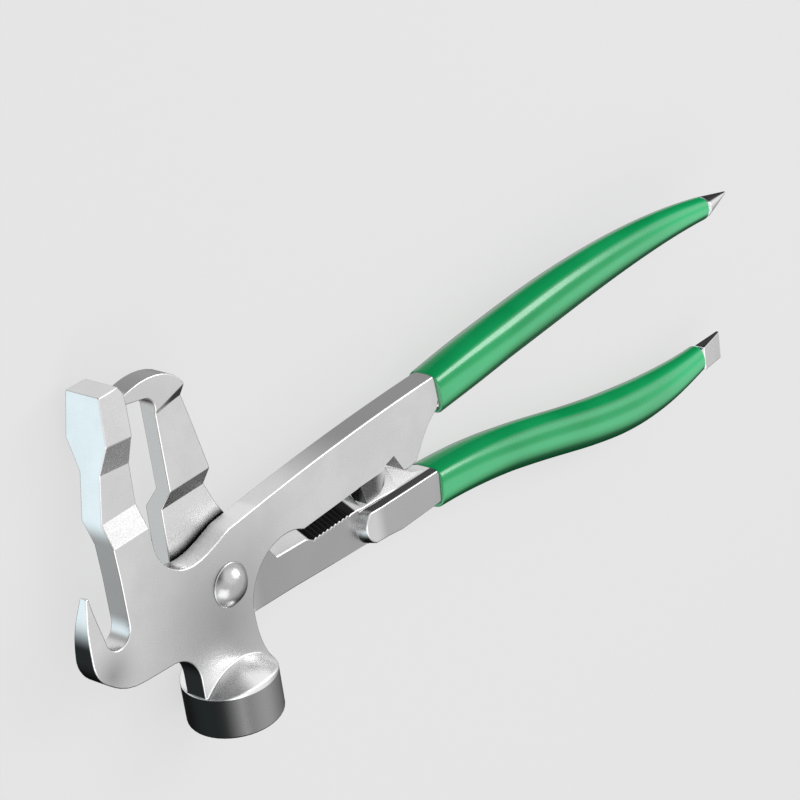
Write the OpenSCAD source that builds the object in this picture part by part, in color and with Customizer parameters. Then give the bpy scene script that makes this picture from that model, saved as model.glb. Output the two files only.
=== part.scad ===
// Wheel weight pliers: two forged halves crossing in a lap joint on one rivet.
// X runs from the claw to the handle ends, Y towards the jaw tips, +Z out of the front plate.
// The origin lies under the middle of the tool, on the plane that it rests on.

/* [Plates and joint] */
// Thickness of the front half's plate
plate_t = 6; // [5:0.5:8]
// Thickness of the rear half's plate
rear_t = 5; // [4:0.5:7]
// Gap between the two plates
lap_gap = 0.1; // [0.05:0.05:0.3]
// Radius of the rear half's disc round the rivet
boss_r = 13; // [11:0.5:14]

/* [Rivet] */
// Diameter of the rivet's shank
rivet_d = 7; // [5:0.5:8]
// Radial running clearance of the rear half on the shank
pivot_clear = 0.05; // [0.02:0.01:0.1]
// Diameter of the domed head on the front
dome_d = 10.9; // [9:0.1:12]
// Height of the domed head
dome_h = 3.2; // [2:0.1:4]
// Height of the flatter head on the rear
tail_h = 1.8; // [1:0.1:2.5]

/* [Hammer] */
// Diameter of the striking drum
drum_d = 23.2; // [20:0.2:26]
// Height of the drum's straight side
drum_h = 10.8; // [8:0.2:13]
// Distance of the striking face below the rivet
drum_drop = 34; // [31:0.2:37]
// Distance of the drum's axis to the left of the rivet
drum_left = 2.5; // [0:0.1:4]
// Height of the dome on top of the drum
crown_h = 4.5; // [3:0.1:6]
// Width of the chamfer round the striking face
face_chamfer = 0.6; // [0.3:0.1:1.2]

/* [Claw] */
// Distance of the claw's outer edge to the left of the rivet
claw_reach = 43.7; // [42:0.1:46]
// Width of the slot inside the claw
slot_w = 7.4; // [6.5:0.1:8]
// Height of the claw's tip above the rivet
claw_top = 18.6; // [14:0.2:20]
// Thickness of the claw at its tip
claw_tip_t = 1.9; // [1:0.1:3]

/* [Hammer half's jaw] */
// Height of the jaw's top above the rivet
jaw_top = 59.7; // [56:0.1:62]
// Half thickness of the jaw's head at its lower end
head_half_t = 6.2; // [5:0.1:7]
// Half thickness of the jaw's head at its top
head_top_half_t = 5; // [4:0.1:6]
// Half thickness of the jaw's neck
neck_half_t = 3.1; // [2.6:0.1:3.6]

/* [Jaw half's jaw] */
// Height of the front face above the lap plane
nose_front = 2.5; // [2:0.1:3]
// Depth of the rear face below the lap plane
nose_back = 2; // [1.5:0.1:2.5]
// Height that the hooked lip gains beyond its step
lip_rise = 0.8; // [0.4:0.1:1.2]
// Gap between the lip's tip and the other jaw, at rest
tip_gap = 0.3; // [0.2:0.1:1]

/* [Handles] */
// Height of the raised stretch of the lower handle above the lap plane
raise_h = 2.9; // [2:0.1:3.5]
// Number of grip teeth in the lower handle
teeth = 9; // [6:1:12]
// Depth of a grip tooth
tooth_d = 0.5; // [0.3:0.1:0.9]
// Width of the upper tang
upper_tang_w = 8.8; // [8:0.1:9.4]
// Width of the lower tang
lower_tang_w = 8.6; // [8:0.1:9]
// Length of the punch beyond the upper grip
punch_len = 12; // [8:0.5:14]
// Diameter of the punch at its base
punch_d = 6.2; // [5:0.1:6.4]
// Length of the pry blade beyond the lower grip
blade_len = 10.8; // [8:0.1:13]
// Width of the pry blade
blade_w = 8.3; // [6:0.1:8.4]
// Thickness of the pry blade's edge
blade_edge_t = 0.9; // [0.6:0.1:1.5]

/* [Grips] */
// Extra room round the handle at a grip's open mouth
mouth_gap = 0.3; // [0.2:0.1:0.8]
// Gap between a grip and its tang
sleeve_clear = 0.1; // [0.05:0.05:0.2]
// Distance of the mouths to the right of the rivet
mouth_x = 78; // [76:0.5:80]
// Width of the upper grip, square to it
upper_grip_w = 13; // [12:0.1:15]
// Thickness of the upper grip
upper_grip_t = 10.8; // [9.6:0.1:13]
// Width of the lower grip, square to it
lower_grip_w = 12.9; // [12:0.1:15]
// Thickness of the lower grip
lower_grip_t = 11.2; // [10.4:0.1:13]
// Distance of the upper grip's end to the right of the rivet
upper_end_x = 200.5; // [198:0.5:206]
// Distance of the lower grip's end to the right of the rivet
lower_end_x = 198.5; // [196:0.5:204]

/* [Hidden] */

steel = "#b9bbbd";
green = "#1f9a57";
fine = 0.01;
big = 300;

// Front and rear plates
rear_front_z = -lap_gap;
rear_back_z = -lap_gap - rear_t;

// Drum
drum_r = drum_d / 2;
drum_z = plate_t / 2;
drum_top_y = drum_h - drum_drop;
crown_r = 13.5;
crown_depth_r = 22.9;

// Claw
slot_r = slot_w / 2;
slot_right = -31.5;
slot_x = slot_right - slot_r;
slot_y = 6.1;
claw_curve_r = 9.3;
claw_y = 2.8;
claw_tip_x = -42.1;
claw_base = -9.6;
scoop_r = 8.35;

// Jaw of the hammer half
jaw_x = -20.2;
head_x = -27;
neck_low = 25.3;
neck_bottom = 30.6;
neck_top = 41;
head_low = 48.3;
head_tilt = -6;
valley_r = 10.9;
valley_x = -9.5;
valley_y = 21.2;

// Upper handle
spine_y = 15.3;
spine_end_y = 17.3;
relief_r = 13.4;
relief_x = 19.5;
relief_y = -10.5;
pocket_x = 47.2;
pocket_y = 1.6;
lobe_low = -4.8;
bevel_y = 2.1;
bevel_z = 4.2;
notch_top = 3.4;

// Rear half
facet_rise = 2.4;
facet_tilt = atan(facet_rise / rear_t);
step_y = 23.3;
step_top_y = 27.8;
bed_left = 34.9;
bed_right = 48;
bed_y = -7.5;
back_tilt = 43;
raise_x = 50;
raise_top = -8.7;
under_y = -18;
under_line = [[12, -15.4], [26, -16.2], [40.5, -17.3]];
mouth_top_y = -9.7;

// Tangs and grips: each follows one cubic curve in its own plane
upper_path = [[mouth_x, 12.9], [115, 16.2], [160, 19], [upper_end_x, 12.7]];
lower_path = [[mouth_x, -14.1], [125, -17.5], [150, -37.3], [lower_end_x, -32.9]];
upper_grip_path = [[mouth_x, 12.4], [115, 15.4], [160, 19], [upper_end_x, 12.7]];
lower_grip_path = [[mouth_x, -14.6], [125, -17.8], [150, -37.3], [lower_end_x, -32.9]];
upper_tang_z = plate_t / 2;
lower_tang_z = (raise_h + rear_back_z) / 2;
lower_tang_t = raise_h - rear_back_z;
stations = 24;
sides = 28;
shares = [for (i = [0 : stations]) i / stations];
mouth_round = 0.22;
mouth_round_out = 0.6;
outer_round = 0.85;
tang_tuck = 0.3;
end_clear = 0.55;

// Origin: middle of the overall length and width, on the lowest point of the drum
x_low = -claw_reach;
x_high = upper_end_x + punch_len;
y_low = min([for (i = [0 : stations])
    cubic(lower_grip_path, i / stations)[1]
    - lower_grip_half(i / stations) * cubic_dir(lower_grip_path, i / stations)[0]]);
y_high = jaw_top;
origin = [-(x_low + x_high) / 2, -(y_low + y_high) / 2, drum_r - drum_z];

// Points of an arc from angle a to angle b
function arc(x, y, r, a, b, n = 12) =
    [for (i = [0 : n]) let (t = a + (b - a) * i / n) [x + r * cos(t), y + r * sin(t)]];

// Point and direction of a cubic curve with four control points
function cubic(p, t) =
    pow(1 - t, 3) * p[0] + 3 * t * pow(1 - t, 2) * p[1]
    + 3 * t * t * (1 - t) * p[2] + pow(t, 3) * p[3];
function cubic_dir(p, t) =
    let (d = 3 * pow(1 - t, 2) * (p[1] - p[0]) + 6 * t * (1 - t) * (p[2] - p[1])
        + 3 * t * t * (p[3] - p[2])) d / norm(d);
function curve(p, n = 8) = [for (i = [0 : n]) cubic(p, i / n)];

// Value at t from a list of evenly spaced values, eased between them
function ease(t) = (1 - cos(180 * t)) / 2;
function along(v, t) =
    let (n = len(v) - 1, i = min(floor(t * n), n - 1), f = t * n - i)
        v[i] + (v[i + 1] - v[i]) * ease(f);

// Half width and half thickness of tangs and grips: shares of their own sizes, from mouth to end
function upper_tang_half(t) = along([upper_tang_w, upper_tang_w - 0.6, 7.2, 6, punch_d - 2.4], t) / 2;
function upper_tang_thin(t) = along([plate_t, plate_t - 0.2, 5.4, 4.8, punch_d - 2.4], t) / 2;
function lower_tang_half(t) = along([lower_tang_w, lower_tang_w - 0.8, 7.4, 6.8, blade_w - 2.6], t) / 2;
function lower_tang_thin(t) = along([lower_tang_t, lower_tang_t - 1.2, 5.8, 5, 2.8], t) / 2;
function upper_grip_half(t) = upper_grip_w / 2 * along([0.86, 0.95, 0.985, 0.98, 0.91, 0.8, 0.65, 0.48], t);
function upper_grip_thin(t) = upper_grip_t / 2 * along([0.91, 0.98, 1, 0.96, 0.89, 0.8, 0.69, 0.56], t);
function lower_grip_half(t) = lower_grip_w / 2 * along([0.87, 0.92, 0.95, 0.96, 0.99, 1, 0.88, 0.62], t);
function lower_grip_thin(t) = lower_grip_t / 2 * along([1, 1, 0.965, 0.945, 0.965, 0.93, 0.77, 0.52], t);
function mouth_open(t) = mouth_gap * max(0, 1 - t * stations / 2);
function tuck(t) = tang_tuck * min(1, t * stations / 2);

// Solid between two heights, from a flat outline
module slab(low, high) {
    translate([0, 0, low])
        linear_extrude(height = high - low)
            children();
}

// Solid of a side profile, given as [y, z] points, that runs along X
module profile_x(points) {
    translate([-big / 2, 0, 0])
        rotate([90, 0, 90])
            linear_extrude(height = big)
                polygon(points);
}

// Bar along a cubic path: its outline in the plane and its thickness both taper
module tang(path, z, half, thin) {
    mid = [for (t = shares) cubic(path, t)];
    side = [for (t = shares) let (d = cubic_dir(path, t)) [-d[1], d[0]]];
    left = [for (i = [0 : stations]) mid[i] + half[i] * side[i]];
    right = [for (i = [stations : -1 : 0]) mid[i] - half[i] * side[i]];
    top = [for (i = [0 : stations]) [mid[i][0], thin[i]]];
    under = [for (i = [stations : -1 : 0]) [mid[i][0], -thin[i]]];
    intersection() {
        slab(-big, big)
            polygon(concat(left, right));
        translate([0, big / 2, z])
            rotate([90, 0, 0])
                linear_extrude(height = big)
                    polygon(concat([[-big, thin[0]]], top, [[big, thin[stations]]],
                        [[big, -thin[stations]]], under, [[-big, -thin[0]]]));
    }
}

// Outline of the hammer half: neck, relief, handle, spine, jaw and claw in one turn
neck_half = sqrt(drum_r * drum_r - plate_t * plate_t / 4) - 0.05;
neck_right = neck_half - drum_left;
neck_left = -neck_half - drum_left;
relief_end = asin((pocket_y - relief_y - 0.3) / relief_r);
claw_x = claw_curve_r - claw_reach;
module hammer_outline() {
    polygon(concat(
        [[neck_right, drum_top_y - 2]],
        curve([[neck_right, drum_top_y], [6.6, -19], [relief_x - relief_r, -15],
            [relief_x - relief_r, relief_y]]),
        arc(relief_x, relief_y, relief_r, 174, relief_end, 14),
        [[pocket_x, pocket_y + 0.4], [pocket_x + 3, lobe_low], [pocket_x + 8.1, lobe_low + 0.5],
            [pocket_x + 9.4, lobe_low + 2.2], [pocket_x + 9, notch_top - 0.4]],
        [[60.2, notch_top + 0.4], [63.1, -1.4], [64.4, -1.7]],
        curve([[68, -1.3], [71, 2.2], [73, 6.3], [mouth_x, 12.9 - upper_tang_w / 2]], 6),
        [[mouth_x + 2, 12.9], [mouth_x, 12.9 + upper_tang_w / 2]],
        curve([[mouth_x - 4, spine_end_y], [50, spine_end_y - 0.2], [28, spine_y + 0.6], [2.5, 13.3]], 10),
        curve([[2.5, 13.3], [-1, 12.2], [-5, valley_y - valley_r], [valley_x, valley_y - valley_r]], 6),
        arc(valley_x, valley_y, valley_r, 264, 180, 12),
        [[jaw_x - 0.5, neck_low], [jaw_x, neck_top], [jaw_x - 0.5, head_low - 1],
            [jaw_x + 0.3, jaw_top - 5], [jaw_x + 0.3, jaw_top - 2.2], [jaw_x - 0.8, jaw_top]],
        [[head_x, jaw_top], [head_x - 1.6, head_low], [head_x - 2.3, neck_top],
            [slot_right + 0.1, neck_bottom], [slot_right - 0.3, neck_low], [slot_right, neck_low - 8]],
        arc(slot_x, slot_y, slot_r, 0, -180, 12),
        curve([[slot_x - slot_r - 0.2, slot_y + 1], [slot_x - slot_r - 1.1, slot_y + 5],
            [slot_x - slot_r - 2, slot_y + 8.5], [claw_tip_x + 0.8, claw_top - 0.3]], 5),
        [[claw_tip_x, claw_top]],
        curve([[claw_tip_x - 0.6, claw_top - 3.5], [claw_tip_x - 1.4, claw_top - 7],
            [-claw_reach, claw_top - 10], [-claw_reach, claw_y]], 5),
        arc(claw_x, claw_y, claw_curve_r, 186, 232, 6),
        curve([[-38.9, -5.6], [-37, -7.1], [-34.5, -8.7], [-30, -9]], 4),
        arc(neck_left - scoop_r, claw_base - scoop_r, scoop_r, 90, 0, 10),
        [[neck_left, drum_top_y - 2]]
    ));
}

// Side profile that sets the thickness of plate and neck, and the one of the jaw's head
module hammer_plate_profile() {
    profile_x([[-big, 0], [neck_low, 0], [neck_bottom, -neck_half_t], [big, -neck_half_t],
        [big, neck_half_t], [neck_bottom, neck_half_t], [neck_low, plate_t], [-big, plate_t]]);
}
module hammer_head_profile() {
    rise = head_low - neck_top;
    run = jaw_top - neck_top;
    translate([head_x + 3, neck_top, 0])
        rotate([0, 0, head_tilt])
            profile_x([[0, neck_half_t], [rise, head_half_t], [run, head_top_half_t],
                [run + 4, head_top_half_t], [run + 4, -head_top_half_t], [run, -head_top_half_t],
                [rise, -head_half_t], [0, -neck_half_t]]);
}

// Round bar of the drum, chamfered at the striking face
module drum_bar(height) {
    rotate([-90, 0, 0])
        rotate_extrude($fn = 96)
            polygon([[0, 0], [drum_r - face_chamfer, 0], [drum_r, face_chamfer], [drum_r, height],
                [0, height]]);
}

// Striking drum: its top is a barrel shape, fuller towards the front, that runs into the plate
module drum() {
    span = drum_r + 1;
    arch = [for (i = [-8 : 8]) let (x = span * i / 8) [crown_depth_r - x * x / (2 * crown_r), x]];
    translate([-drum_left, -drum_drop, drum_z]) {
        drum_bar(drum_h);
        intersection() {
            drum_bar(drum_h + crown_h + 1);
            translate([0, drum_h + crown_h - crown_depth_r, 0])
                rotate([0, 90, 0])
                    rotate_extrude($fn = 144)
                        polygon(concat([[0, -span]], arch, [[0, span]]));
        }
    }
}

// Wedge that thins the claw from behind, towards its tip
module claw_taper() {
    rise = plate_t - claw_tip_t;
    translate([slot_x - big, 0, 0])
        rotate([90, 0, 90])
            linear_extrude(height = big)
                polygon(concat([[-1, -1]],
                    curve([[-2, 0], [6, 0.3], [11, 0.4 * rise], [claw_top, rise]], 10),
                    [[claw_top + 20, plate_t], [claw_top + 20, -1]]));
}

// Ground bevel on the front of the cutter lobe
module lobe_bevel() {
    slope = (plate_t - bevel_z) / (bevel_y - lobe_low);
    translate([pocket_x - 1, 0, 0])
        rotate([90, 0, 90])
            linear_extrude(height = 10.4)
                polygon([[bevel_y, plate_t], [lobe_low - 2, bevel_z - 2 * slope],
                    [lobe_low - 2, plate_t + 1], [bevel_y, plate_t + 1]]);
}

// Round punch on the end of the upper tang
module punch() {
    translate([upper_end_x, upper_path[3][1], upper_tang_z])
        rotate([0, 90, 0]) {
            translate([0, 0, -1])
                cylinder(h = 2, r = punch_d / 2 - 1.6, $fn = 32);
            translate([0, 0, end_clear])
                cylinder(h = punch_len - end_clear, r1 = punch_d / 2, r2 = 0.3, $fn = 32);
        }
}

module hammer_half() {
    color(steel)
        translate(origin)
            difference() {
                union() {
                    intersection() {
                        slab(-big, big)
                            hammer_outline();
                        union() {
                            hammer_plate_profile();
                            hammer_head_profile();
                        }
                    }
                    drum();
                    tang(upper_path, upper_tang_z, [for (t = shares) upper_tang_half(t) - tuck(t)],
                        [for (t = shares) upper_tang_thin(t) - tuck(t)]);
                    punch();
                }
                claw_taper();
                lobe_bevel();
                translate([0, 0, -1])
                    cylinder(h = plate_t + 2, d = rivet_d, $fn = 48);
            }
}

// Outline of the rear half behind the front plate: jaw's root, disc and web to the handle
module rear_web_outline() {
    polygon(concat(
        [[-10.9, step_y], [-11.2, 11.5]],
        arc(0, 0, boss_r, 165, 262, 14),
        [[5, -14.7], under_line[0], under_line[1], [21.9, -5.7]],
        curve([[20, -3], [13, 6], [5.5, 15], [3.1, step_y]], 8)
    ));
}

// Top line of the lower handle at the lap plane, with the grip teeth in a shallow bed
module handle_top_outline() {
    pitch = (bed_right - bed_left) / teeth;
    squeeze = cos(facet_tilt);
    zigzag = [for (i = [0 : teeth - 1]) each
        [[bed_left + i * pitch, bed_y - tooth_d], [bed_left + (i + 0.5) * pitch, bed_y]]];
    line = concat([[8, -5.1], [21.9, -5.7], [32.2, -6.4], [33.4, bed_y + 0.5]], zigzag,
        [[bed_right, bed_y - tooth_d], [bed_right + 0.8, bed_y - 0.3], [raise_x + 0.5, bed_y - 0.4],
            [raise_x + 5, -8.6]]);
    polygon(concat([for (p = line) [p[0], p[1] * squeeze]], [[raise_x + 5, -40], [8, -40]]));
}

// Handle bar of the rear layer: its top leans back, so that it is higher behind
module handle_bar() {
    intersection() {
        slab(rear_back_z, rear_front_z)
            polygon(concat([[8, 0], [8, under_line[0][1] + 0.3]], under_line,
                [[raise_x + 5, under_y - 0.2], [raise_x + 5, 0]]));
        translate([0, 0, rear_front_z])
            rotate([facet_tilt, 0, 0])
                slab(-20, 20)
                    handle_top_outline();
    }
}

// Rear layer between the step and the grip: its top leans back more steeply
module back_bar() {
    squeeze = cos(back_tilt);
    low = lower_path[0][1] - lower_tang_w / 2;
    top_line = [[raise_x + 3, -8.4], [raise_x + 10, -8.8], [raise_x + 18, -9.7], [mouth_x + 2, -10.4],
        [mouth_x + 2, -40], [raise_x + 3, -40]];
    intersection() {
        slab(rear_back_z, rear_front_z)
            polygon([[raise_x + 3, -2], [raise_x + 17, -4.6], [raise_x + 24, -8.7],
                [mouth_x, mouth_top_y], [mouth_x + 2, mouth_top_y - 0.2], [mouth_x + 2, low],
                [raise_x + 13, low - 0.1], [raise_x + 3, under_y - 0.4]]);
        translate([0, 0, rear_front_z])
            rotate([back_tilt, 0, 0])
                slab(-20, 20)
                    polygon([for (p = top_line) [p[0], p[1] * squeeze]]);
    }
}

// Raised stretch in front of it, level with the grip, with a round sloping step
module raised_bar() {
    low = lower_path[0][1] - lower_tang_w / 2;
    step_x = raise_x + 5.6;
    intersection() {
        slab(rear_front_z - 1, raise_h)
            polygon([[raise_x - 4, raise_top + 0.2], [raise_x + 3, raise_top],
                [raise_x + 7, raise_top - 0.3], [mouth_x, mouth_top_y],
                [mouth_x + 2, mouth_top_y - 0.2], [mouth_x + 2, low], [raise_x + 13, low - 0.1],
                [raise_x + 8, under_y + 0.2], [raise_x + 3, under_y + 0.6],
                [raise_x - 4, under_y + 0.6]]);
        translate([0, 0, rear_front_z - 1])
            union() {
                translate([step_x, -12.8, 0])
                    cylinder(h = raise_h - rear_front_z + 1, r1 = 6.3, r2 = 5.2, $fn = 64);
                translate([step_x, -30, 0])
                    cube([40, 40, raise_h - rear_front_z + 1]);
            }
    }
}

// Jaw of the rear half: it steps forward to the middle and ends in a hooked lip
module nose_outline() {
    tip_x = jaw_x + 0.3 + tip_gap;
    polygon(concat(
        [[-11.2, 11.5], [-10.9, step_y], [-9.7, step_top_y], [-9.7, 46.6]],
        arc(-13.5, 48.7, 3.8, 0, 80, 8),
        [[tip_x + 0.6, 53.7], [tip_x, 54.2], [tip_x, 55.3]],
        curve([[tip_x + 0.4, 55.8], [-12, 58.2], [-4, 57.2], [-0.2, 50.8]], 10),
        [[-1.3, 48.3], [0.8, 39.5], [3.4, step_top_y], [3.1, step_y], [6.9, 14]]
    ));
}
module nose() {
    intersection() {
        slab(-big, big)
            nose_outline();
        profile_x([[0, rear_front_z], [step_y, rear_front_z], [step_top_y, nose_front],
            [big, nose_front], [big, -nose_back], [step_top_y, -nose_back],
            [step_y, rear_back_z], [0, rear_back_z]]);
    }
    intersection() {
        slab(-nose_back, big)
            nose_outline();
        translate([-8.5, 47.3, 0])
            rotate([0, 0, 8.5])
                profile_x([[0, nose_front - 0.5], [0, nose_front], [10, nose_front + 4 * lip_rise],
                    [40, nose_front + 16 * lip_rise], [40, -nose_back - 1], [4, -nose_back - 1]]);
        translate([-9.1, 48.3, 0])
            rotate([0, 0, -8.3])
                profile_x([[-10, nose_front], [0, nose_front + 0.4 * lip_rise],
                    [16, nose_front + 1.8 * lip_rise], [16, -nose_back - 1], [-10, -nose_back - 1]]);
    }
}

// Flat pry blade on the end of the lower tang
module blade() {
    half = blade_w / 2;
    root = half - 0.6;
    neck = half - 1.8;
    root_x = lower_end_x + end_clear;
    y = lower_path[3][1];
    root_y = y - 0.25;
    edge_y = y - 0.65;
    intersection() {
        slab(-big, big)
            polygon([[lower_end_x - 1, y + neck], [lower_end_x - 1, y - neck], [root_x, y - neck],
                [root_x, root_y - root], [lower_end_x + blade_len, edge_y - half],
                [lower_end_x + blade_len, edge_y + half], [root_x, root_y + root],
                [root_x, y + neck]]);
        translate([0, 0, lower_tang_z])
            rotate([90, 0, 0])
                translate([0, 0, -big / 2])
                    linear_extrude(height = big)
                        polygon([[lower_end_x - 1, 1.1], [lower_end_x - 1, -1.1], [root_x, -1.1],
                            [lower_end_x + blade_len, -blade_edge_t / 2],
                            [lower_end_x + blade_len, blade_edge_t / 2], [root_x, 2.2],
                            [root_x, 1.1]]);
    }
}

module jaw_half() {
    color(steel)
        translate(origin)
            difference() {
                union() {
                    slab(rear_back_z, rear_front_z)
                        rear_web_outline();
                    handle_bar();
                    back_bar();
                    raised_bar();
                    nose();
                    tang(lower_path, lower_tang_z, [for (t = shares) lower_tang_half(t) - tuck(t)],
                        [for (t = shares) lower_tang_thin(t) - tuck(t)]);
                    blade();
                }
                translate([0, 0, rear_back_z - 1])
                    cylinder(h = rear_t + 2, d = rivet_d + 2 * pivot_clear, $fn = 48);
            }
}

// Spherical cap on the plane z = 0
module cap(d, h) {
    r = (d * d / 4 + h * h) / (2 * h);
    intersection() {
        translate([0, 0, h - r])
            sphere(r = r, $fn = 64);
        cylinder(h = h + 1, d = d, $fn = 64);
    }
}

// Rivet: domed head in front, flatter head behind
module pivot_rivet() {
    color("silver")
        translate(origin) {
            translate([0, 0, rear_back_z - lap_gap - fine])
                cylinder(h = plate_t - rear_back_z + lap_gap + 2 * fine, d = rivet_d, $fn = 48);
            translate([0, 0, plate_t])
                cap(dome_d, dome_h);
            translate([0, 0, rear_back_z - lap_gap])
                mirror([0, 0, 1])
                    cap(dome_d, tail_h);
        }
}

// One ring of a sleeve, square to the path: its corners are round, or nearly square
function ring(path, z, t, half, thin, round_by) =
    let (c = cubic(path, t), d = cubic_dir(path, t))
    [for (k = [0 : sides - 1])
        let (a = 360 * (k + 0.5) / sides, cs = cos(a), sn = sin(a),
            u = half * sign(cs) * pow(abs(cs), round_by), v = thin * sign(sn) * pow(abs(sn), round_by))
        [c[0] - d[1] * u, c[1] + d[0] * u, z + v]];

// Dipped sleeve over a tang, open at both ends, with a hollow that widens at the mouth
module sleeve(outer_path, path, z, outer_half, outer_thin, inner_half, inner_thin) {
    n = stations;
    outer = [for (i = [0 : n])
        let (round_by = outer_round + (mouth_round_out - outer_round) * max(0, 1 - 4 * i / n))
        ring(outer_path, z, i / n, outer_half[i], outer_thin[i], round_by)];
    inner = [for (i = [n : -1 : 0])
        let (gap = sleeve_clear + mouth_open(i / n))
        ring(path, z, i / n, inner_half[i] + gap, inner_thin[i] + gap, i == 0 ? mouth_round : 0.15)];
    rings = concat(outer, inner);
    m = len(rings);
    points = [for (r = rings) each r];
    faces = [for (i = [0 : m - 1], k = [0 : sides - 1])
        let (j = (i + 1) % m, l = (k + 1) % sides)
        each [[i * sides + k, i * sides + l, j * sides + l],
            [i * sides + k, j * sides + l, j * sides + k]]];
    polyhedron(points = points, faces = faces, convexity = 6);
}

module upper_grip() {
    color(green)
        translate(origin)
            sleeve(upper_grip_path, upper_path, upper_tang_z, [for (t = shares) upper_grip_half(t)],
                [for (t = shares) upper_grip_thin(t)], [for (t = shares) upper_tang_half(t)],
                [for (t = shares) upper_tang_thin(t)]);
}

module lower_grip() {
    color(green)
        translate(origin)
            sleeve(lower_grip_path, lower_path, lower_tang_z, [for (t = shares) lower_grip_half(t)],
                [for (t = shares) lower_grip_thin(t)], [for (t = shares) lower_tang_half(t)],
                [for (t = shares) lower_tang_thin(t)]);
}

hammer_half();
jaw_half();
pivot_rivet();
upper_grip();
lower_grip();
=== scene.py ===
# Wheel weight pliers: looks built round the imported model, in metres, in its row frame.
import itertools
import math
from collections import namedtuple
from types import SimpleNamespace

import bmesh
import bpy
from mathutils import Matrix, Vector


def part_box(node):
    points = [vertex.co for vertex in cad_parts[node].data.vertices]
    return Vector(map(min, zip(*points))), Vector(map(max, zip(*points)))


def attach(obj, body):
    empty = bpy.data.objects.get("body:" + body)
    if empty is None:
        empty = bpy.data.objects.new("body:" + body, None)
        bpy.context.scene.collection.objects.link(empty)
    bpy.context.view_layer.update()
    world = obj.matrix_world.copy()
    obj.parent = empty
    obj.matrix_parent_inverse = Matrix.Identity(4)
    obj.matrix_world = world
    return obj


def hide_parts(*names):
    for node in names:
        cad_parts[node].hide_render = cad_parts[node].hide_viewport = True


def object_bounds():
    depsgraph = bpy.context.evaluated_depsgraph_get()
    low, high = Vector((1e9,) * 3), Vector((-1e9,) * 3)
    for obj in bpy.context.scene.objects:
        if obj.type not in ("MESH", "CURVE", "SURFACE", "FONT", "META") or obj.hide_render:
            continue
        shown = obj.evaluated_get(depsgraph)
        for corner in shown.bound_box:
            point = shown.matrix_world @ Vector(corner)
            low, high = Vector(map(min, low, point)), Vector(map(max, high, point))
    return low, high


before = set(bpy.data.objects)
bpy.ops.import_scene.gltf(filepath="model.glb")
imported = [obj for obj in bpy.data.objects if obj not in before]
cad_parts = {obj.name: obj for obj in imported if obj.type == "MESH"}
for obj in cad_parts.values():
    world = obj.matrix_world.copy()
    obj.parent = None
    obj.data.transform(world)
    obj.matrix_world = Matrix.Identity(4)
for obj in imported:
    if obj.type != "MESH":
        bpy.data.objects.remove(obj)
cad_low, cad_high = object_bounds()

# Driving sizes in millimetres. Points are measured from the pivot, with the lap plane of the two
# halves at z = 0 and the front plate's face at z = PLATE_T.
MM_PER_M = 1000.0
PLATE_T = 6.0
REAR_T = 5.0
LAP_GAP = 0.1
SEAT_GAP = 0.1
SHANK_R = 3.49
HEAD_D = 10.9
DOME_H = 3.2
TAIL_H = 1.8
DRUM_X = -2.5
DRUM_R = 11.6
DRUM_TOP = -23.2

rivet_low, rivet_high = (Vector(corner) * MM_PER_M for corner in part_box("pivot_rivet"))
PIVOT = (rivet_low + rivet_high) / 2
PIVOT.z = rivet_high.z - DOME_H - PLATE_T


def at(x, y, z):
    """A point measured from the pivot, in millimetres, as metres in the row frame."""
    return (Vector((x, y, z)) + PIVOT) / MM_PER_M


def in_scene(name, data):
    """A new object, linked to the scene."""
    new = bpy.data.objects.new(name, data)
    bpy.context.scene.collection.objects.link(new)
    return new


# Camera: its place from the pivot, and the ways that run right and down in its picture
CAMERA_PLACE = (-365.13, 299.163, 401.182)
PICTURE_RIGHT = Vector((0.62424, -0.12755, 0.77075)).normalized()
PICTURE_DOWN = Vector((-0.41305, -0.8913, 0.18703)).normalized()
LENS = 121.5
SENSOR = 36.0
CLIP_NEAR = 0.05
CLIP_FAR = 10.0


def camera():
    """The camera of the photograph."""
    data = bpy.data.cameras.new("camera")
    data.sensor_width = SENSOR
    data.lens = LENS
    data.clip_start = CLIP_NEAR
    data.clip_end = CLIP_FAR
    ahead = PICTURE_RIGHT.cross(PICTURE_DOWN).normalized()
    turn = Matrix((PICTURE_RIGHT, -PICTURE_DOWN, -ahead)).transposed().to_4x4()
    new = in_scene("camera", data)
    new.matrix_world = Matrix.Translation(at(*CAMERA_PLACE)) @ turn
    return new


bpy.context.scene.camera = camera()


# Node helpers: a helper that is handed a socket works in that socket's own node tree. The Mix node's
# sockets for colours go by number, because several share a name.
MIX_FACTOR, MIX_A, MIX_B = 0, 6, 7
MIX_COLOUR = 2


def new_mat(name):
    """An empty material and its node tree."""
    mat = bpy.data.materials.new(name)
    mat.use_nodes = True
    mat.node_tree.nodes.clear()
    return mat, mat.node_tree


def add(tree, kind, **settings):
    node = tree.nodes.new(kind)
    for name, value in settings.items():
        setattr(node, name, value)
    return node


def put(socket, value):
    """Link a socket to another, or set its value."""
    if isinstance(value, bpy.types.NodeSocket):
        socket.id_data.links.new(value, socket)
    else:
        socket.default_value = value


def tree_of(*values):
    """The node tree of the first value that is a socket."""
    return next(value.id_data for value in values if isinstance(value, bpy.types.NodeSocket))


def shader(tree, kind, **sockets):
    """A shader with its inputs set. An input's name has _ for each space."""
    node = add(tree, kind)
    for name, value in sockets.items():
        put(node.inputs[name.replace("_", " ")], value)
    return node.outputs[0]


def blend(factor, first, second):
    """The first shader where the factor is 0, the second where it is 1."""
    node = add(tree_of(first), "ShaderNodeMixShader")
    for socket, value in zip(node.inputs, (factor, first, second)):
        put(socket, value)
    return node.outputs[0]


def output(kind, result):
    put(add(tree_of(result), kind).inputs["Surface"], result)


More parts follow.
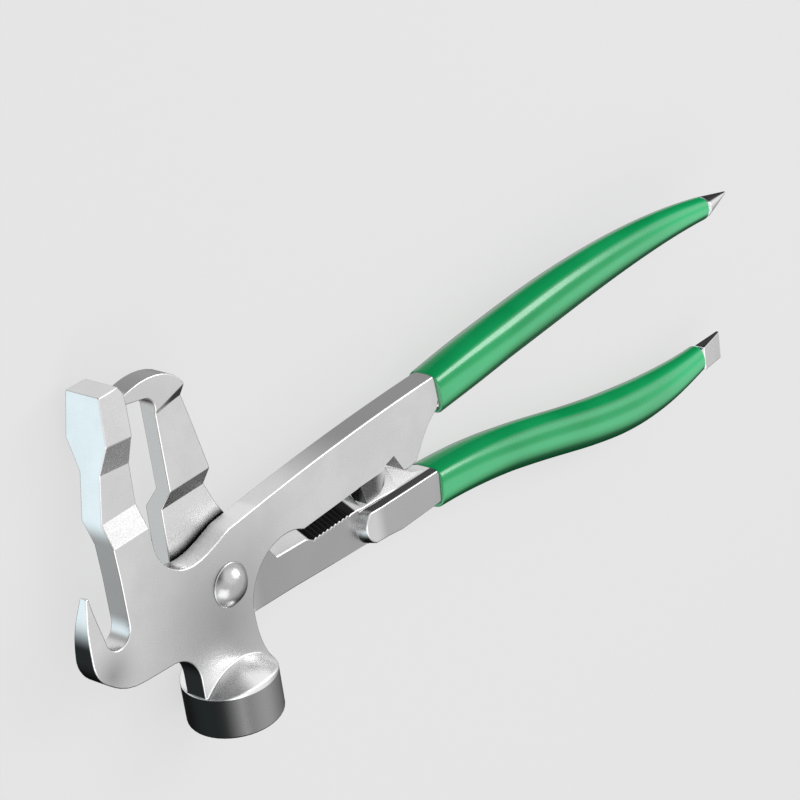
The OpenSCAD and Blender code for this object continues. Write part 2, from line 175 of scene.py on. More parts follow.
def math_node(operation, a, b=0.0, c=0.0, clamp=False):
    node = add(tree_of(a, b, c), "ShaderNodeMath", operation=operation, use_clamp=clamp)
    for socket, value in zip(node.inputs, (a, b, c)):
        put(socket, value)
    return node.outputs[0]


def times(*values):
    """The product of masks and numbers. For masks it is 1 where all of them are."""
    out = values[0]
    for value in values[1:]:
        out = math_node("MULTIPLY", out, value)
    return out


def most(*values):
    """The largest of the values."""
    out = values[0]
    for value in values[1:]:
        out = math_node("MAXIMUM", out, value)
    return out


def plus(a, b):
    return math_node("ADD", a, b)


def less(a, b):
    return math_node("SUBTRACT", a, b)


def span(value, low, high, to_low=0.0, to_high=1.0):
    """A smooth step from one level to another, where the value runs from low to high."""
    node = add(tree_of(value), "ShaderNodeMapRange", interpolation_type="SMOOTHSTEP")
    put(node.inputs["Value"], value)
    put(node.inputs["From Min"], low)
    put(node.inputs["From Max"], high)
    put(node.inputs["To Min"], to_low)
    put(node.inputs["To Max"], to_high)
    return node.outputs["Result"]


def inside(value, low, high, soft=0.1):
    """1 where the value lies between two limits, with a soft edge."""
    return times(span(value, low - soft, low + soft), span(value, high + soft, high - soft))


def ball(x, y, centre, radius, soft):
    """1 within a radius of a point in the plane of x and y, fading to 0 over the soft width."""
    across = math_node("POWER", less(x, centre[0]), 2.0)
    along = math_node("POWER", less(y, centre[1]), 2.0)
    return span(math_node("SQRT", plus(across, along)), radius + soft, radius - soft)


def mix(factor, a, b):
    """The first colour where the factor is 0, the second where it is 1."""
    node = add(tree_of(factor, a, b), "ShaderNodeMix", data_type="RGBA")
    put(node.inputs[MIX_FACTOR], factor)
    put(node.inputs[MIX_A], a)
    put(node.inputs[MIX_B], b)
    return node.outputs[MIX_COLOUR]


def grey(level):
    return (level, level, level, 1.0)


def noise(vector, scale, detail=3.0, rough=0.5):
    node = add(tree_of(vector), "ShaderNodeTexNoise")
    put(node.inputs["Vector"], vector)
    put(node.inputs["Scale"], scale)
    put(node.inputs["Detail"], detail)
    put(node.inputs["Roughness"], rough)
    return node.outputs["Fac"]


def bump(height, strength, distance):
    node = add(tree_of(height), "ShaderNodeBump")
    put(node.inputs["Height"], height)
    put(node.inputs["Strength"], strength)
    put(node.inputs["Distance"], distance)
    return node.outputs["Normal"]


def parts(vector):
    """The x, y and z parts of a vector."""
    node = add(tree_of(vector), "ShaderNodeSeparateXYZ")
    put(node.inputs[0], vector)
    return node.outputs


def place(tree):
    """Where a point of the surface lies, in millimetres from the pivot."""
    node = add(tree, "ShaderNodeVectorMath", operation="MULTIPLY_ADD")
    put(node.inputs[0], add(tree, "ShaderNodeTexCoord").outputs["Object"])
    put(node.inputs[1], (MM_PER_M, MM_PER_M, MM_PER_M))
    put(node.inputs[2], -PIVOT)
    return node.outputs[0]


def facing(tree):
    """The way that the surface faces, in the piece's own axes."""
    return add(tree, "ShaderNodeTexCoord").outputs["Normal"]


# Forged steel: masks are made from places in millimetres from the pivot and from the way a face looks.
# Most greys below are painted shade or highlights. The painted shadow's reach along the lap is in metres.
# near black for the painted shade in hollows and on shaded edges
PAINTED_SHADE_GREY = grey(0.022)
DRUM_DARK = grey(0.016)
DRUM_LIT = grey(0.33)
CROWN_GREY = grey(0.95)
RIM_HIGHLIGHT = grey(0.86)
JAW_WALL_SHADE = (0.47, 0.42, 0.40, 1)
CLAW_WALL_SHADE = (0.29, 0.26, 0.25, 1)
LAP_SHADOW = grey(0.01)
STEP_SHADE = grey(0.04)
SHADOW_REACH = 0.0045


def steel_spot(tree):
    """Where a point of the steel lies, how it faces, and the masks that several marks share."""
    mm = place(tree)
    x, y, z = parts(mm)
    nx, ny, nz = parts(facing(tree))
    edge_on = inside(z, 0.2, PLATE_T - 0.2, 0.15)
    at_drum = inside(x, -16.0, 12.0)
    return SimpleNamespace(
        mm=mm, x=x, y=y, z=z, nx=nx, ny=ny, edge_on=edge_on, at_drum=at_drum,
        front=span(nz, 0.7, 0.9),
        left=span(nx, -0.55, -0.85),
        # the rear half's face along the lap plane, and the punch and blade beyond the sleeves
        lapped=inside(z, -0.5, 0.05, 0.05),
        tips=span(x, 197.0, 198.0),
        # the wall at the bottom of the V between the jaws
        vee=times(edge_on, inside(x, -12.0, 12.0, 1.0), inside(y, 2.0, 17.0)),
        # the sloping face at the foot of the jaw's neck
        neck_foot=times(inside(x, -36.0, -18.0), inside(y, 22.0, 34.0), inside(ny, 0.43, 0.53, 0.03)),
        # the drum's straight side, and a measure that runs round it from painted shade to painted light
        side=times(span(y, DRUM_TOP + 0.3, DRUM_TOP - 0.1), at_drum),
        round_drum=plus(times(x, 0.63), times(z, 0.78)))


def satin(spot, grain):
    """The steel's own colour: cloudy patches, a fine grain and faint lines along the tool."""
    blotch = noise(spot.mm, scale=0.09)
    brush = add(tree_of(spot.mm), "ShaderNodeMapping")
    put(brush.inputs["Vector"], spot.mm)
    put(brush.inputs["Scale"], (0.35, 6.0, 6.0))
    lines = noise(brush.outputs[0], scale=1.0, rough=0.6)
    base = mix(span(blotch, 0.35, 0.65), grey(0.66), grey(0.71))
    base = mix(times(span(grain, 0.35, 0.7), 0.3), base, grey(0.78))
    return mix(times(span(lines, 0.55, 0.8), 0.12), base, grey(0.48))


def front_zones(spot):
    """Front faces with painted shade or painted highlights, as (mask, share, grey level)."""
    x, y, front, lapped = spot.x, spot.y, spot.front, spot.lapped
    return (
        # painted shade on the plate round the rivet
        (times(front, ball(x, y, (-4, -8), 15.0, 25.0)), 0.9, 0.31),
        # painted shade at the foot of the claw
        (times(front, ball(x, y, (-39.0, -2.5), 3.0, 7.5)), 0.9, 0.24),
        # a painted highlight on the plate where the drum's crown starts
        (times(front, ball(x, y, (-9.0, -19.5), 2.5, 7.5)), 0.95, 0.95),
        # painted shade on the rear half beside the plate
        (times(front, lapped, span(x, 8.0, 16.0)), 0.8, 0.33),
        # painted shade on the raised stretch of the lower handle
        (times(front, inside(spot.z, 2.2, 3.3), span(x, 53.5, 58.0)), 0.8, 0.42),
        # a painted highlight on the root of the rear jaw, over the plate
        (times(front, lapped, span(y, 9.0, 13.0)), 0.6, 0.80),
        # painted highlights on the punch and the blade
        (times(front, spot.tips), 0.9, 0.84))


def wall_zones(spot):
    """Walls and slopes with painted shade or a painted highlight, as (mask, share, grey level)."""
    x, y, ny = spot.x, spot.y, spot.ny
    down = span(ny, -0.2, -0.35)
    cut = times(spot.edge_on, span(spot.nx, -0.5, -0.75), down)
    return (
        # a painted highlight on the wall at the bottom of the V
        (spot.vee, 0.85, 0.95),
        # painted shade on the sloping face at the foot of the jaw's neck
        (spot.neck_foot, 1.0, 0.38),
        # painted shade on the top of the beak's arch
        (times(span(ny, 0.4, 0.8), inside(x, -18.0, -2.0, 1.0), span(y, 52.0, 55.0)), 0.95, 0.26),
        # painted shade in the two notches over the pipe pocket
        (times(cut, inside(x, 57.0, 66.0), inside(y, -2.0, 8.0)), 0.95, 0.12),
        (times(cut, inside(x, 45.0, 50.5), inside(y, -6.0, 2.2)), 0.95, 0.12),
        # painted shade along the top edge of the upper arm
        (times(span(ny, 0.8, 0.93), spot.edge_on, span(x, 15.0, 48.0)), 0.95, 0.24),
        # painted shade on the step of the rear jaw, which faces down
        (times(inside(y, 20.0, 30.0), inside(x, -14.0, 8.0), down), 0.9, 0.07))


def drum(spot, base):
    """The drum: a dark polished side with painted shade on its left that turns to painted light on its
    right, a crown lightened with painted light and a painted highlight along the rim.
    """
    # painted shade on the drum's left side turns to painted light on its right
    lit = span(spot.round_drum, -4.5, 10.0)
    base = mix(spot.side, base, mix(times(lit, lit), DRUM_DARK, DRUM_LIT))
    # the crown is lightened with painted light
    proud = math_node("ADD", span(spot.z, PLATE_T, PLATE_T + 0.15), span(spot.z, 0.0, -0.15), clamp=True)
    crown = times(span(spot.y, -14.0, -15.0), proud, spot.at_drum, less(1.0, spot.side))
    base = mix(times(crown, 0.9), base, CROWN_GREY)
    # a painted highlight along the rim of the drum's crown
    within = ball(spot.x, spot.z, (DRUM_X, PLATE_T / 2), DRUM_R - 0.5, 0.12)
    rim = times(inside(spot.y, DRUM_TOP - 0.15, DRUM_TOP + 0.25, 0.05), less(1.0, within))
    return mix(rim, base, RIM_HIGHLIGHT)


def shaded_walls(spot, base):
    """Painted shade on the walls that face the gap between the jaws, and on the wall inside the claw."""
    jaw = times(spot.left, inside(spot.x, -16.0, 0.0), span(spot.y, 5.0, 7.0))
    claw = times(spot.left, inside(spot.x, -38.0, -22.0), span(spot.y, 31.0, 26.0), span(spot.y, 4.0, 8.5))
    return mix(claw, mix(jaw, base, JAW_WALL_SHADE), CLAW_WALL_SHADE)


def painted_shade_marks(spot):
    """Where painted shade is laid on the steel: hollows, shaded edges and the tips."""
    x, y, z = spot.x, spot.y, spot.z
    claw = times(span(x, -36.0, -38.5), span(y, 14.0, 6.0), spot.edge_on)
    scoop = times(ball(x, y, (-22.0, -17.95), 9.2, 0.3), span(x, -23.5, -20.5), spot.edge_on,
                  span(y, -26.0, -25.0))
    drum_neck = times(inside(x, -14.6, -13.0), inside(y, -23.1, -15.0), spot.edge_on)
    grip_teeth = times(inside(z, -4.9, -0.28), inside(x, 33.2, 50.5, 0.4), inside(y, -9.6, -3.0))
    raised_top = times(inside(z, 0.1, 2.6, 0.15), inside(x, 53.0, 90.0, 0.8), inside(y, -10.1, -8.0))
    # a thin wedge on the hooked lip, between two lines that part to the right
    below_top = less(math_node("MULTIPLY_ADD", x, 0.3, 50.89), y)
    above_foot = less(y, math_node("MULTIPLY_ADD", x, 0.08, 48.54))
    lip = times(span(below_top, -0.1, 0.2), span(above_foot, -0.3, 0.0), span(x, -9.5, -4.0),
                span(z, 1.5, 2.0))
    tips = times(spot.tips, span(spot.ny, 0.5, 0.7))
    return most(claw, times(tips, 0.95), scoop, drum_neck, grip_teeth, times(raised_top, 0.8),
                times(lip, 0.9))


def painted_shadow(spot, base):
    """A painted shadow along the lap, where the rear jaw runs under the plate, and painted shade low on the
    raised step.
    """
    near = add(tree_of(base), "ShaderNodeAmbientOcclusion", samples=8)
    put(near.inputs["Distance"], SHADOW_REACH)
    lap = times(spot.lapped, spot.front, span(spot.y, 3.0, 5.0), span(near.outputs["AO"], 0.88, 0.6))
    step = times(inside(spot.x, 49.0, 54.5), inside(spot.z, 0.0, 2.7), span(spot.y, -12.5, -15.5))
    return mix(step, mix(lap, base, LAP_SHADOW), STEP_SHADE)


def forged_steel():
    """Satin steel with zones of painted shade and painted highlights, painted shade in its hollows and a
    painted shadow along the lap.
    """
    mat, tree = new_mat("forged_steel_satin")
    spot = steel_spot(tree)
    grain = noise(spot.mm, scale=2.6, detail=5.0, rough=0.65)
    shade_marks = painted_shade_marks(spot)
    base = satin(spot, grain)
    for mask, share, level in front_zones(spot) + wall_zones(spot):
        base = mix(times(mask, share), base, grey(level))
    base = shaded_walls(spot, drum(spot, base))
    base = painted_shadow(spot, mix(shade_marks, base, PAINTED_SHADE_GREY))

    rough = span(grain, 0.25, 0.75, 0.24, 0.34)
    for mask, rise in ((spot.vee, 0.35), (spot.neck_foot, 0.12), (shade_marks, 0.12)):
        rough = plus(rough, times(mask, rise))
    # the specular tint is halved under the painted shade and on the drum's shaded left
    dark = most(shade_marks, times(spot.side, span(spot.round_drum, 6.0, -6.0)))
    tint = mix(dark, grey(1.0), grey(0.5))
    output("ShaderNodeOutputMaterial",
           shader(tree, "ShaderNodeBsdfPrincipled", Base_Color=base, Metallic=1.0, Roughness=rough,
                  Specular_Tint=tint, Normal=bump(grain, strength=0.10, distance=0.00005)))
    return mat


def rivet_steel():
    """Polished steel with a faint grain."""
    mat, tree = new_mat("rivet_polished")
    grain = noise(place(tree), scale=1.8, detail=2.0)
    output("ShaderNodeOutputMaterial",
           shader(tree, "ShaderNodeBsdfPrincipled", Base_Color=mix(grain, grey(0.40), grey(0.50)),
                  Metallic=1.0, Roughness=span(grain, 0.3, 0.7, 0.22, 0.29),
                  Normal=bump(grain, strength=0.04, distance=0.00003)))
    return mat


# Vinyl greens: the two of its clouds, painted light on its bands and ends, and painted shade underneath
GREEN_DEEP = (0.004, 0.26, 0.075, 1)
GREEN_FRESH = (0.009, 0.32, 0.10, 1)
GREEN_PAINTED_LIGHT = (0.03, 0.52, 0.20, 1)
GREEN_PAINTED_SHADE = (0.002, 0.07, 0.022, 1)


def grip_vinyl():
    """Green vinyl: painted light in two bands and near the ends, painted shade underneath, with a coat's
    sheen.
    """
    mat, tree = new_mat("grip_vinyl_green")
    mm = place(tree)
    tilt, nz = parts(facing(tree))[1:]
    cloud = noise(mm, scale=0.035)
    fine = noise(mm, scale=0.9, detail=2.0)
    base = mix(span(cloud, 0.3, 0.7), GREEN_DEEP, GREEN_FRESH)

    # painted light on two bands set by the surface's tilt and near the ends where it faces front; painted
    # shade underneath
    bands = most(inside(tilt, -0.08, 0.08, 0.06), inside(tilt, 0.38, 0.62, 0.08))
    ends = times(span(parts(mm)[0], 150.0, 196.0), span(nz, 0.3, 0.9))
    base = mix(most(times(bands, 0.35), times(ends, 0.6)), base, GREEN_PAINTED_LIGHT)
    shaded_under = span(tilt, -0.10, -0.40)
    base = mix(shaded_under, base, GREEN_PAINTED_SHADE)

    # the sheen leaves out the top, the stretch between the bands and the underside
    shiny = most(span(tilt, 0.80, 0.58), span(nz, 0.05, -0.25))
    dulled = most(times(inside(tilt, 0.10, 0.34, 0.10), 0.6), times(shaded_under, 0.8))
    sheen = math_node("SUBTRACT", shiny, dulled, clamp=True)
    output("ShaderNodeOutputMaterial",
           shader(tree, "ShaderNodeBsdfPrincipled", Base_Color=base, Metallic=0.0,
                  Roughness=span(fine, 0.3, 0.7, 0.22, 0.29), IOR=1.5,
                  Specular_IOR_Level=times(sheen, 0.5), Coat_Weight=times(sheen, 0.7),
                  Coat_Roughness=0.16, Normal=bump(fine, strength=0.04, distance=0.00005)))
    return mat


steel = forged_steel()
rivet = rivet_steel()
vinyl = grip_vinyl()


# New pieces: each rides a body and stands for a node of the model
def as_mesh(name, verts, faces):
    mesh = bpy.data.meshes.new(name)
    mesh.from_pydata([tuple(vert) for vert in verts], [], faces)
    mesh.update()
    return mesh


def new_piece(name, mesh, body, replaced, mat):
    for face in mesh.polygons:
        face.use_smooth = True
    piece = in_scene(name, mesh)
    mesh.materials.append(mat)
    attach(piece, body)
    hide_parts(replaced)
    return piece


# Steel halves: the widths of their rounded edges, and the reach of small tolerances, in metres
EDGE_R = 0.0003
EDGE_STEPS = 2
FOOT_R = 0.00045
FOOT_STEPS = 3
MERGE = 0.00002
LEVEL = 0.00001
CRISP_REACH = 0.0003
# Turns between two faces, and angles between two edges
FLAT = math.radians(0.5)
CREASE = math.radians(13)
SHARP = math.radians(24)
NARROW = math.radians(40)
STRAIGHT = math.radians(150)
# Two corners of the notches over the pipe pocket that stay crisp
CRISP = (at(46.2, 2.03, 5.98), at(56.26, 2.1, 6.0))
# The crown's foot lies to the left of this point and below it
FOOT_END = at(7.0, -13.0, PLATE_T)
# Share of an edge's length along z from which it is upright, and the weight that lets large faces
# set the shading at their corners
UPRIGHT = 0.9
LARGE_FACES = 100


def is_sharp(edge):
    return len(edge.link_faces) == 2 and edge.calc_face_angle(0.0) > SHARP


def is_crisp(edge):
    return any((vert.co - corner).length < CRISP_REACH for vert in edge.verts for corner in CRISP)


def angle_at(vert, first, second):
    """The angle between two edges that meet at a vertex."""
    return (first.other_vert(vert).co - vert.co).angle(second.other_vert(vert).co - vert.co, 0.0)


def goes_on(edge, chosen):
    """Whether another chosen edge carries an edge on, past one of its ends."""
    return any(angle_at(vert, edge, other) > STRAIGHT
               for vert in edge.verts for other in vert.link_edges if other in chosen and other != edge)


def outer_edges(bm):
    """The edges to soften: sharp outer ones, less short ones between two corners and narrow corners."""
    chosen = {edge for edge in bm.edges if is_sharp(edge) and edge.is_convex and not is_crisp(edge)}
    for edge in sorted(chosen, key=lambda e: e.index):
        if edge.calc_length() < 2 * EDGE_R and not goes_on(edge, chosen):
            chosen.discard(edge)
    for vert in bm.verts:
        fan = [edge for edge in vert.link_edges if edge in chosen]
        for first, second in itertools.combinations(fan, 2):
            if angle_at(vert, first, second) < NARROW:
                chosen.discard(min(first, second, key=lambda e: e.calc_length()))
    return sorted(chosen, key=lambda e: e.index)


def crown_foot(bm):
    """The inner corner along which the drum's crown rises out of the front plate."""
    def at_foot(point):
        return abs(point.z - FOOT_END.z) < LEVEL and point.y < FOOT_END.y and point.x < FOOT_END.x

    return [edge for edge in bm.edges
            if is_sharp(edge) and not edge.is_convex and all(at_foot(vert.co) for vert in edge.verts)]


def round_off(bm, edges, width, steps):
    bmesh.ops.bevel(bm, geom=edges, offset=width, offset_type="OFFSET", segments=steps, profile=0.5,
                    affect="EDGES", clamp_overlap=False)
    bm.edges.index_update()


def shade(bm):
    """Smooth shading round the outer edges and over the facets of curved walls, crisp inner corners."""
    for edge in bm.edges:
        turn = edge.calc_face_angle(0.0)
        way = edge.verts[1].co - edge.verts[0].co
        crease = SHARP if abs(way.z) > UPRIGHT * way.length else CREASE
        edge.smooth = turn < crease or (edge.is_convex and turn > SHARP)


def softened(name, source, body):
    """A copy of a forged half with rounded outer edges and crisp inner corners."""
    bm = bmesh.new()
    bm.from_mesh(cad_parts[source].data)
    bmesh.ops.remove_doubles(bm, verts=bm.verts, dist=MERGE)
    bmesh.ops.dissolve_limit(bm, angle_limit=FLAT, verts=bm.verts, edges=bm.edges)
    bm.edges.index_update()
    round_off(bm, crown_foot(bm), FOOT_R, FOOT_STEPS)
    round_off(bm, outer_edges(bm), EDGE_R, EDGE_STEPS)
    shade(bm)
    mesh = bpy.data.meshes.new(name)
    bm.to_mesh(mesh)
    bm.free()
    half = new_piece(name, mesh, body, source, steel)
    normals = half.modifiers.new("normals", "WEIGHTED_NORMAL")
    normals.weight = LARGE_FACES
    normals.keep_sharp = True


softened("hammer_forging", "hammer_half", "hammer_body")
softened("jaw_forging", "jaw_half", "jaw_body")


def band(a, b, sides):
    """The faces between two closed rings of points, which start at points a and b."""
    return [(a + k, a + (k + 1) % sides, b + (k + 1) % sides, b + k) for k in range(sides)]


# Rivet: a domed head in front, a flatter one behind, each with a small turned-in foot
HEAD_FOOT = 0.3
FOOT_CURVE = ((0.05, 0.6), (0.1, 0.25), (0.35, 0.0))
BACK_Z = -LAP_GAP - REAR_T - SEAT_GAP
DOME_STEPS = 24
TAIL_STEPS = 16
RIVET_SIDES = 96


def head_curve(height, steps):
    """Radius and height of a head from its pole to its seat: a part of one ball, then the foot."""
    radius = HEAD_D / 2
    ball_r = (radius * radius + height * height) / (2 * height)
    end = math.asin((radius - HEAD_FOOT * FOOT_CURVE[-1][0]) / ball_r)
    cap = [(ball_r * math.sin(end * i / steps), height - ball_r * (1 - math.cos(end * i / steps)))
           for i in range(steps + 1)]
    return cap + [(radius - HEAD_FOOT * inward, HEAD_FOOT * up) for inward, up in FOOT_CURVE]


def lathe(profile, sides):
    """A closed solid turned about the pivot's axis from (radius, height) points, poles at both ends."""
    rings = profile[1:-1]
    verts = [at(0, 0, profile[0][1])]
    verts += [at(r * math.cos(2 * math.pi * k / sides), r * math.sin(2 * math.pi * k / sides), h)
              for r, h in rings for k in range(sides)]
    verts.append(at(0, 0, profile[-1][1]))
    starts = [1 + i * sides for i in range(len(rings))]
    pole = starts[-1] + sides
    faces = [(0, 1 + (k + 1) % sides, 1 + k) for k in range(sides)]
    for a, b in itertools.pairwise(starts):
        faces += band(a, b, sides)
    faces += [(pole, starts[-1] + k, starts[-1] + (k + 1) % sides) for k in range(sides)]
    return verts, faces


def rivet_dome():
    """The rivet: peened tail, shank and polished dome."""
    front = [(r, PLATE_T + h) for r, h in head_curve(DOME_H, DOME_STEPS)]
    back = [(r, BACK_Z - h) for r, h in head_curve(TAIL_H, TAIL_STEPS)]
    profile = back + [(SHANK_R, BACK_Z), (SHANK_R, PLATE_T)] + front[::-1]
    mesh = as_mesh("rivet_dome", *lathe(profile, RIVET_SIDES))
    new_piece("rivet_dome", mesh, "hammer_body", "pivot_rivet", rivet)


rivet_dome()

# Sleeves: a bar follows one cubic path in its own plane. Its half widths and half thicknesses are
# evenly spaced from the mouth to the end.
Bar = namedtuple("Bar", "path half_width half_thick")
STATIONS = 96
SIDES = 80
PATH_STEPS = 50
LIP = 0.28
LIP_STEPS = 4
END_ROUND = 0.9
END_STEPS = 6
HOLLOW_STEPS = 24
# Exponents of the rings: 1 is an oval, and a smaller one is squarer
SLEEVE_ROUND = 0.85
MOUTH_ROUND = 0.6
HOLLOW_ROUND = 0.15
HOLLOW_MOUTH_ROUND = 0.22
# Room round the tang. Outside, the mouth is squarer over the first quarter of the length, and inside,
# the hollow is wider over the first twelfth.
SLEEVE_GAP = 0.1
MOUTH_GAP = 0.3
MOUTH_PART = 4
HOLLOW_PART = 12


def cubic(path, t):
    a, b, c, d = path
    return a * (1 - t) ** 3 + b * 3 * t * (1 - t) ** 2 + c * 3 * t * t * (1 - t) + d * t ** 3


def cubic_way(path, t):
    a, b, c, d = path
    return ((b - a) * (1 - t) ** 2 + (c - b) * 2 * t * (1 - t) + (d - c) * t * t).normalized()


def eased(values, t):
    """The value at t from evenly spaced values, on a smooth curve through them."""
    last = len(values) - 1
    i = min(int(t * last), last - 1)
    f = t * last - i
    start, end = values[i], values[i + 1]
    rise_in = (values[i + 1] - values[i - 1]) / 2 if i > 0 else end - start
    rise_out = (values[i + 2] - values[i]) / 2 if i + 2 <= last else end - start
    return ((2 * f ** 3 - 3 * f * f + 1) * start + (f ** 3 - 2 * f * f + f) * rise_in
            + (-2 * f ** 3 + 3 * f * f) * end + (f ** 3 - f * f) * rise_out)


def power(value, exponent):
    return math.copysign(abs(value) ** exponent, value)


def ring(bar, z, t, grown, exponent):
    """One ring square to a bar's path, at height z, with its width and thickness grown on each side."""
    centre = cubic(bar.path, t)
    way = cubic_way(bar.path, t)
    half_width = eased(bar.half_width, t) + grown
    half_thick = eased(bar.half_thick, t) + grown
    points = []
    for k in range(SIDES):
        angle = 2 * math.pi * (k + 0.5) / SIDES
        u = half_width * power(math.cos(angle), exponent)
        v = half_thick * power(math.sin(angle), exponent)
        points.append(at(centre.x - way.y * u, centre.y + way.x * u, z + v))
    return points


def quarter(steps):
    """The sine and cosine of angles from 0 to a quarter turn."""
    angles = [math.pi / 2 * i / steps for i in range(steps + 1)]
    return [(math.sin(angle), math.cos(angle)) for angle in angles]


def sleeve_rings(sleeve, tang, z):
    """A dipped sleeve's rings: rolled lip at the mouth, the length, rolled end, then back inside."""
    length = sum((cubic(sleeve.path, (i + 1) / PATH_STEPS) - cubic(sleeve.path, i / PATH_STEPS)).length
                 for i in range(PATH_STEPS))

    def outer(t, inset=0.0):
        exponent = SLEEVE_ROUND + (MOUTH_ROUND - SLEEVE_ROUND) * max(0.0, 1 - MOUTH_PART * t)
        return ring(sleeve, z, t, -inset, exponent)

    def inner(t):
        gap = SLEEVE_GAP + MOUTH_GAP * max(0.0, 1 - HOLLOW_PART * t)
        return ring(tang, z, t, gap, HOLLOW_MOUTH_ROUND if t == 0 else HOLLOW_ROUND)

    stop = 1 - END_ROUND / length
    rings = [outer(LIP * (1 - cos) / length, LIP * (1 - sin)) for sin, cos in quarter(LIP_STEPS)]
    rings += [outer(i / STATIONS) for i in range(1, STATIONS)]
    rings += [outer(stop + END_ROUND / length * sin, END_ROUND * (1 - cos))
              for sin, cos in quarter(END_STEPS)]
    rings += [inner(1 - i / HOLLOW_STEPS) for i in range(HOLLOW_STEPS + 1)]
    return rings


def grip(name, body, replaced, sleeve, tang, z):
    """A dipped sleeve over a tang. It is left out of the steel's reflections."""
    rings = sleeve_rings(sleeve, tang, z)
    verts = [point for points in rings for point in points]
    faces = []
    for i in range(len(rings)):
        faces += band(i * SIDES, (i + 1) % len(rings) * SIDES, SIDES)
    piece = new_piece(name, as_mesh(name, verts, faces), body, replaced, vinyl)
    piece.visible_glossy = False


def route(*points):
    return [Vector((x, y, 0)) for x, y in points]


def shares(size, *values):
    return [size * value for value in values]


# Where the sleeves start and end, their fullest half sizes, and the height of each one's middle
MOUTH_X = 78.0
UPPER_END = (200.5, 12.7)
UPPER_HALF_WIDTH = 6.5
UPPER_HALF_THICK = 5.4
UPPER_Z = PLATE_T / 2
LOWER_END = (198.5, -32.9)
LOWER_HALF_WIDTH = 6.38
LOWER_HALF_THICK = 5.6
LOWER_Z = -1.1

grip("upper_sleeve", "hammer_body", "upper_grip",
     Bar(route((MOUTH_X, 12.4), (115, 15.4), (160, 19), UPPER_END),
         shares(UPPER_HALF_WIDTH, 0.86, 0.95, 0.985, 0.98, 0.91, 0.8, 0.65, 0.48),
         shares(UPPER_HALF_THICK, 0.91, 0.98, 1, 0.96, 0.89, 0.8, 0.69, 0.56)),
     Bar(route((MOUTH_X, 12.9), (115, 16.2), (160, 19), UPPER_END),
         (4.4, 4.1, 3.6, 3, 1.9), (3, 2.9, 2.7, 2.4, 1.9)), UPPER_Z)
grip("lower_sleeve", "jaw_body", "lower_grip",
     Bar(route((MOUTH_X, -14.6), (125, -17.8), (150, -37.3), LOWER_END),
         shares(LOWER_HALF_WIDTH, 0.87, 0.92, 0.95, 0.96, 0.99, 1, 0.88, 0.62),
         shares(LOWER_HALF_THICK, 1, 1, 0.965, 0.945, 0.965, 0.93, 0.77, 0.52)),
     Bar(route((MOUTH_X, -14.1), (125, -17.5), (150, -37.3), LOWER_END),
         (4.3, 3.9, 3.7, 3.4, 2.85), (4, 3.4, 2.9, 2.5, 1.4)), LOWER_Z)

# Room: pale paper all round. The stops run along the cosine to the black flag at the lower right.
FLAG_WAY = (0.35, -0.85, -0.40)
FLAG_STOPS = ((0.0, 0.93), (0.40, 0.90), (0.66, 0.42), (0.76, 0.34), (0.85, 0.08), (0.93, 0.012))
# A dark flag over the grips and a bright patch, as (way, cosines where it starts and is full, level, share)
PATCHES = (((-0.60, 0.80, 0.0), 0.55, 0.90, 0.05, 0.85),
           ((0.20, 0.49, 0.85), 0.80, 0.90, 1.25, 1.0))
COOL_WAY = (-0.85, -0.25, -0.45)
COOL_SPAN = (0.55, 0.95)
COOL = (1.12, 1.30, 1.37, 1)
BACKDROP = grey(0.807)


def toward(direction, way):
    """The cosine of the angle between a direction and a given way."""
    node = add(tree_of(direction), "ShaderNodeVectorMath", operation="DOT_PRODUCT")
    put(node.inputs[0], direction)
    put(node.inputs[1], Vector(way).normalized())
    return node.outputs["Value"]


def grey_ramp(value, stops):
    """Greys from (place, level) stops."""
    node = add(tree_of(value), "ShaderNodeValToRGB")
    put(node.inputs[0], value)
    elements = node.color_ramp.elements
    while len(elements) < len(stops):
        elements.new(0.5)
    for element, (where, level) in zip(elements, stops):
        element.position = where
        element.color = grey(level)
    return node.outputs[0]


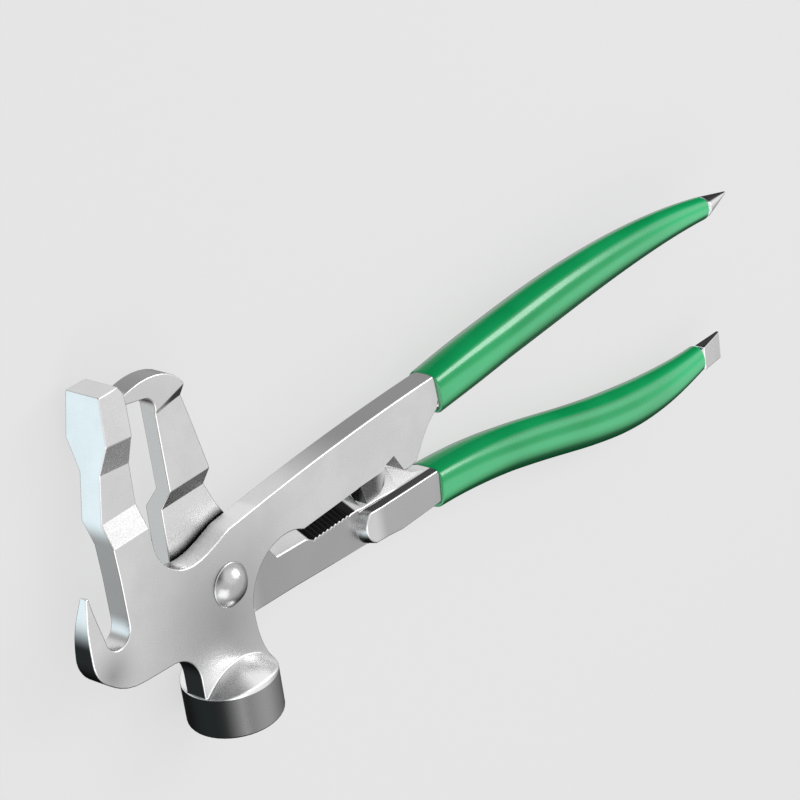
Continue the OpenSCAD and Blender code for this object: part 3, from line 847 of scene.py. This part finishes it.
def studio():
    """The room that lights the tool, cooler on the left, and the plain backdrop that the camera sees."""
    world = bpy.data.worlds.new("studio")
    bpy.context.scene.world = world
    world.use_nodes = True
    tree = world.node_tree
    tree.nodes.clear()
    direction = add(tree, "ShaderNodeTexCoord").outputs["Generated"]
    room = grey_ramp(toward(direction, FLAG_WAY), FLAG_STOPS)
    for way, start, full, level, share in PATCHES:
        room = mix(span(toward(direction, way), start, full, 0.0, share), room, grey(level))
    room = mix(span(toward(direction, COOL_WAY), *COOL_SPAN), room, COOL)
    seen = add(tree, "ShaderNodeLightPath").outputs["Is Camera Ray"]
    output("ShaderNodeOutputWorld",
           blend(seen, shader(tree, "ShaderNodeBackground", Color=room, Strength=1.0),
                 shader(tree, "ShaderNodeBackground", Color=BACKDROP, Strength=1.0)))


def softbox(name, way, distance, aim, size, radiance):
    """An area lamp that faces a point of the tool from a distance, with its length along x."""
    data = bpy.data.lights.new(name, "AREA")
    data.shape = "RECTANGLE"
    data.size, data.size_y = size
    data.energy = radiance * math.pi * size[0] * size[1]
    along = Vector((1, 0, 0))
    back = Vector(way).normalized()
    length = (along - back * back.dot(along)).normalized()
    turn = Matrix((length, back.cross(length), back)).transposed().to_4x4()
    lamp = in_scene(name, data)
    lamp.matrix_world = Matrix.Translation(at(*aim) + back * distance) @ turn


studio()
softbox("strip_right", way=(0.66, 0.34, 0.67), distance=0.65, aim=(0, 20, 5), size=(0.34, 0.24),
        radiance=4.4)
softbox("left_front", way=(-0.61, -0.435, 0.66), distance=0.7, aim=(40, -10, 4), size=(0.46, 0.46),
        radiance=1.3)

# Floor: half its side and its drop below the tool, in metres. Its paper glows, and a share of it
# takes the light.
FLOOR_HALF = 3.0
FLOOR_DROP = 0.0005
FLOOR_GLOW = grey(0.757)
LIT_SHARE = 0.14


def pale_floor():
    """A plain pale floor that keeps the tool's shadow, and is left out of its reflections."""
    corners = [(sx * FLOOR_HALF, sy * FLOOR_HALF, 0) for sx, sy in ((-1, -1), (1, -1), (1, 1), (-1, 1))]
    floor = in_scene("floor", as_mesh("floor", corners, [(0, 1, 2, 3)]))
    floor.location.z = cad_low[2] - FLOOR_DROP
    floor.visible_glossy = False
    floor.visible_diffuse = False
    mat, tree = new_mat("pale_paper")
    mottle = noise(add(tree, "ShaderNodeTexCoord").outputs["Object"], scale=3.0)
    glow = shader(tree, "ShaderNodeEmission", Color=FLOOR_GLOW)
    sheet = shader(tree, "ShaderNodeBsdfDiffuse", Color=mix(mottle, grey(0.80), grey(0.84)))
    output("ShaderNodeOutputMaterial", blend(LIT_SHARE, glow, sheet))
    floor.data.materials.append(mat)


pale_floor()

bpy.context.scene.view_settings.view_transform = "Standard"
